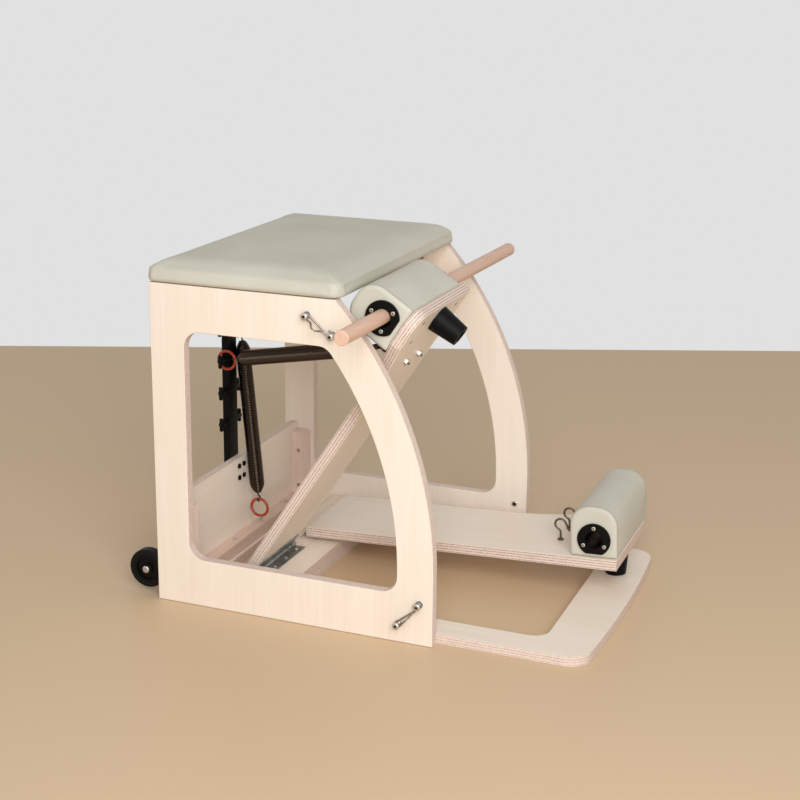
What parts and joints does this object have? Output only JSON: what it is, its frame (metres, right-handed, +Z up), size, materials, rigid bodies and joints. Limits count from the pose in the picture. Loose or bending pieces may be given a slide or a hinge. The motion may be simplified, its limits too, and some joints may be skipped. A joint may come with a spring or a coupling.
{
  "type": "pilates chair",
  "caption": "Split-pedal exercise chair: plywood frame with padded seat, two hinged sprung pedals with padded heads, spring post with pegs, loose dowel and transport wheels.",
  "frame": {"origin": "on the floor, on the centre plane, under the pedals' hinge line", "axes": "+Z up, the pedals reach forward along -Y, the left pedal is on -X"},
  "size_m": [0.8752, 0.889, 0.643],
  "materials": {
    "plywood": "clear satin lacquer",
    "hardwood": "oiled",
    "beech": "smooth sanded",
    "seat_vinyl": "soft matte vinyl",
    "pad_vinyl": "soft matte vinyl",
    "black_steel": "satin black",
    "zinc": "bright zinc plate",
    "galvanised": "dull galvanised",
    "black_plastic": "matte black",
    "bumper_rubber": "matte black",
    "wheel_rubber": "matte black",
    "spring_steel": "black oil-tempered wire",
    "red_ring": "dipped orange-red"
  },
  "bodies": {
    "frame": {"left_side_panel": "plywood", "right_side_panel": "plywood", "left_bail_studs": "zinc", "right_bail_studs": "zinc", "left_bails": "zinc", "right_bails": "zinc", "left_corner_block": "hardwood", "right_corner_block": "hardwood", "left_hinge_base_leaf": "galvanised", "right_hinge_base_leaf": "galvanised", "left_hinge_pin": "galvanised", "right_hinge_pin": "galvanised", "left_wheel_bracket": "galvanised", "right_wheel_bracket": "galvanised", "left_wheel_axle": "zinc", "right_wheel_axle": "zinc", "base_plate": "plywood", "hinge_board": "plywood", "back_panel": "plywood", "top_back_rail": "plywood", "foot_batten": "hardwood", "frame_screws": "zinc", "spring_post": "black_steel", "spring_pegs": "black_steel", "post_bolts": "black_steel", "seat_board": "plywood", "seat_cushion": "seat_vinyl"},
    "left_pedal": {"left_pedal_board": "plywood", "left_pedal_pad": "pad_vinyl", "left_pad_tube": "black_plastic", "left_pad_flanges": "black_plastic", "left_flange_screws": "zinc", "left_pad_screws": "zinc", "left_pedal_hooks": "zinc", "left_hook_nuts": "zinc", "left_bumper": "bumper_rubber", "left_bumper_screw": "zinc", "left_hinge_pedal_leaf": "galvanised"},
    "right_pedal": {"right_pedal_board": "plywood", "right_pedal_pad": "pad_vinyl", "right_pad_tube": "black_plastic", "right_pad_flanges": "black_plastic", "right_flange_screws": "zinc", "right_pad_screws": "zinc", "right_pedal_hooks": "zinc", "right_hook_nuts": "zinc", "right_bumper": "bumper_rubber", "right_bumper_screw": "zinc", "right_hinge_pedal_leaf": "galvanised"},
    "dowel": {"dowel": "beech"},
    "left_spring_rear": {"left_spring_rear_ring": "red_ring"},
    "left_spring_front": {"left_spring_coil": "spring_steel"},
    "left_hook_ring": {"left_spring_front_ring": "red_ring"},
    "right_spring": {"right_spring_coil": "spring_steel", "right_spring_rings": "red_ring"},
    "left_wheel": {"left_wheel_tyre": "wheel_rubber", "left_wheel_hub": "black_plastic"},
    "right_wheel": {"right_wheel_tyre": "wheel_rubber", "right_wheel_hub": "black_plastic"}
  },
  "joints": [
    {"name": "left_pedal_hinge", "type": "hinge", "parent": "frame", "child": "left_pedal", "pos_m": [-0.121, 0, 0.04], "axis": [1, 0, 0], "range_deg": [0, 54.35], "stiffness_Nm_per_rad": 20, "springref_deg": -45.84},
    {"name": "right_pedal_hinge", "type": "hinge", "parent": "frame", "child": "right_pedal", "pos_m": [0.121, 0, 0.04], "axis": [-1, 0, 0], "range_deg": [0, 54.35]},
    {"name": "dowel_slide", "type": "slide", "parent": "left_pedal", "child": "dowel", "axis": [0.9999, 0, -0.0125], "range_m": [-0.72, 0.15]},
    {"name": "left_spring_swing", "type": "hinge", "parent": "frame", "child": "left_spring_rear", "pos_m": [-0.026, 0.15, 0.39402], "axis": [1, 0, 0], "range_deg": [0, 37.74]},
    {"name": "left_spring_stretch", "type": "slide", "parent": "left_spring_rear", "child": "left_spring_front", "axis": [0, -0.9686, 0.2487], "range_m": [0, 0.3156], "deforming": ["left_spring_coil"]},
    {"name": "left_hook_ring_turn", "type": "hinge", "parent": "left_pedal", "child": "left_hook_ring", "pos_m": [-0.145, -0.23802, 0.49364], "axis": [1, 0, 0], "range_deg": [-16.71, 0]},
    {"name": "right_spring_swing", "type": "hinge", "parent": "frame", "child": "right_spring", "pos_m": [0.02075, 0.15, 0.45752], "axis": [-1, 0, 0], "range_deg": [0, 7]},
    {"name": "left_wheel_spin", "type": "hinge", "parent": "frame", "child": "left_wheel", "pos_m": [-0.254, 0.193, 0.045], "axis": [1, 0, 0], "continuous": true},
    {"name": "right_wheel_spin", "type": "hinge", "parent": "frame", "child": "right_wheel", "pos_m": [0.254, 0.193, 0.045], "axis": [1, 0, 0], "continuous": true}
  ],
  "couplings": [
    {"joint": "left_spring_swing", "follows": "left_pedal_hinge", "ratio": 0.69351},
    {"joint": "left_spring_stretch", "follows": "left_pedal_hinge", "m_per_rad": 0.33216},
    {"joint": "left_hook_ring_turn", "follows": "left_pedal_hinge", "ratio": -0.30649}
  ]
}
